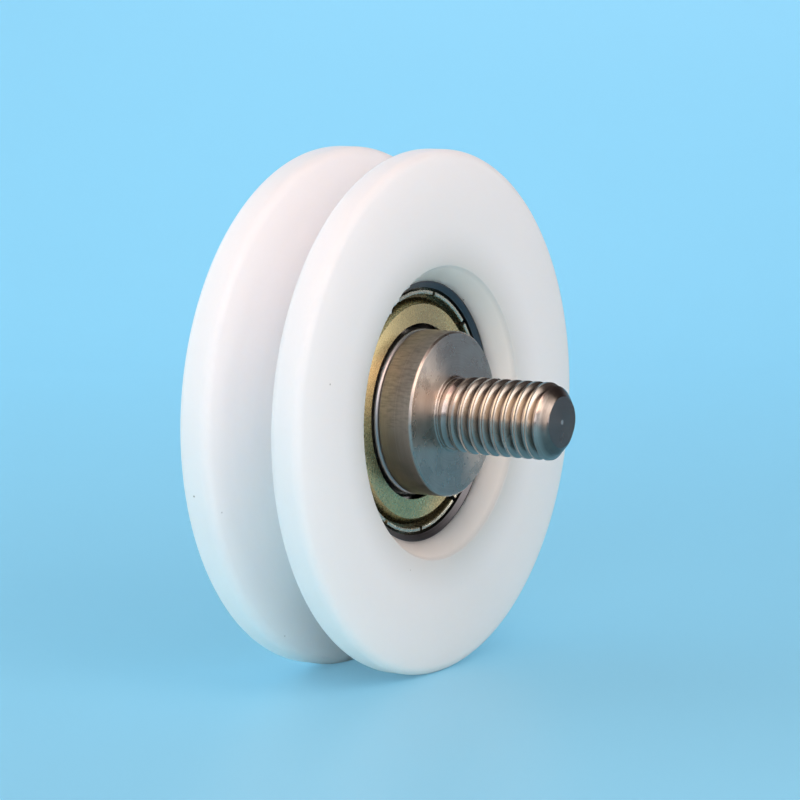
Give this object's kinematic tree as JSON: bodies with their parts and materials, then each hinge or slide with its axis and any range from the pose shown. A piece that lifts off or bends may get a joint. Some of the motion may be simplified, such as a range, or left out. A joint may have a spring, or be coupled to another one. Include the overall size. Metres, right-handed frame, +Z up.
{
  "type": "u-groove pulley wheel",
  "caption": "White nylon pulley wheel with a deep U groove, turning on a shielded ball bearing on a turned steel stud axle with a collar and a threaded end.",
  "frame": {"origin": "middle of the collar's face, where the stud seats on its plate", "axes": "+Y along the axle from the stud to the wheel, +Z up with the wheel upright as in use"},
  "size_m": [0.054, 0.0285, 0.054],
  "materials": {
    "nylon": "satin",
    "bearing_steel": "ground",
    "ball_steel": "polished",
    "cage_steel": "pressed",
    "shield_plate": "yellow passivated",
    "stud_steel": "turned"
  },
  "bodies": {
    "axle": {"stud_axle": "stud_steel", "bearing_inner_ring": "bearing_steel"},
    "wheel": {"groove_wheel": "nylon", "bearing_outer_ring": "bearing_steel", "front_shield": "shield_plate", "back_shield": "shield_plate"},
    "cage": {"cage_front": "cage_steel", "cage_back": "cage_steel", "cage_rivets": "cage_steel"},
    "ball_1": {"ball_1": "ball_steel"},
    "ball_2": {"ball_2": "ball_steel"},
    "ball_3": {"ball_3": "ball_steel"},
    "ball_4": {"ball_4": "ball_steel"},
    "ball_5": {"ball_5": "ball_steel"},
    "ball_6": {"ball_6": "ball_steel"},
    "ball_7": {"ball_7": "ball_steel"},
    "ball_8": {"ball_8": "ball_steel"}
  },
  "joints": [
    {"name": "wheel_spin", "type": "hinge", "parent": "axle", "child": "wheel", "pos_m": [0, 0.00835, 0], "axis": [0, 1, 0], "continuous": true},
    {"name": "cage_turn", "type": "hinge", "parent": "axle", "child": "cage", "pos_m": [0, 0.00835, 0], "axis": [0, 1, 0], "continuous": true},
    {"name": "ball_1_roll", "type": "hinge", "parent": "cage", "child": "ball_1", "pos_m": [0, 0.00835, 0.01], "axis": [0, 1, 0], "continuous": true},
    {"name": "ball_2_roll", "type": "hinge", "parent": "cage", "child": "ball_2", "pos_m": [-0.00707, 0.00835, 0.00707], "axis": [0, 1, 0], "continuous": true},
    {"name": "ball_3_roll", "type": "hinge", "parent": "cage", "child": "ball_3", "pos_m": [-0.01, 0.00835, 0], "axis": [0, 1, 0], "continuous": true},
    {"name": "ball_4_roll", "type": "hinge", "parent": "cage", "child": "ball_4", "pos_m": [-0.00707, 0.00835, -0.00707], "axis": [0, 1, 0], "continuous": true},
    {"name": "ball_5_roll", "type": "hinge", "parent": "cage", "child": "ball_5", "pos_m": [0, 0.00835, -0.01], "axis": [0, 1, 0], "continuous": true},
    {"name": "ball_6_roll", "type": "hinge", "parent": "cage", "child": "ball_6", "pos_m": [0.00707, 0.00835, -0.00707], "axis": [0, 1, 0], "continuous": true},
    {"name": "ball_7_roll", "type": "hinge", "parent": "cage", "child": "ball_7", "pos_m": [0.01, 0.00835, 0], "axis": [0, 1, 0], "continuous": true},
    {"name": "ball_8_roll", "type": "hinge", "parent": "cage", "child": "ball_8", "pos_m": [0.00707, 0.00835, 0.00707], "axis": [0, 1, 0], "continuous": true}
  ],
  "couplings": [
    {"joint": "cage_turn", "follows": "wheel_spin", "ratio": 0.61905},
    {"joint": "ball_1_roll", "follows": "wheel_spin", "ratio": 1.9809},
    {"joint": "ball_2_roll", "follows": "wheel_spin", "ratio": 1.9809},
    {"joint": "ball_3_roll", "follows": "wheel_spin", "ratio": 1.9809},
    {"joint": "ball_4_roll", "follows": "wheel_spin", "ratio": 1.9809},
    {"joint": "ball_5_roll", "follows": "wheel_spin", "ratio": 1.9809},
    {"joint": "ball_6_roll", "follows": "wheel_spin", "ratio": 1.9809},
    {"joint": "ball_7_roll", "follows": "wheel_spin", "ratio": 1.9809},
    {"joint": "ball_8_roll", "follows": "wheel_spin", "ratio": 1.9809}
  ]
}
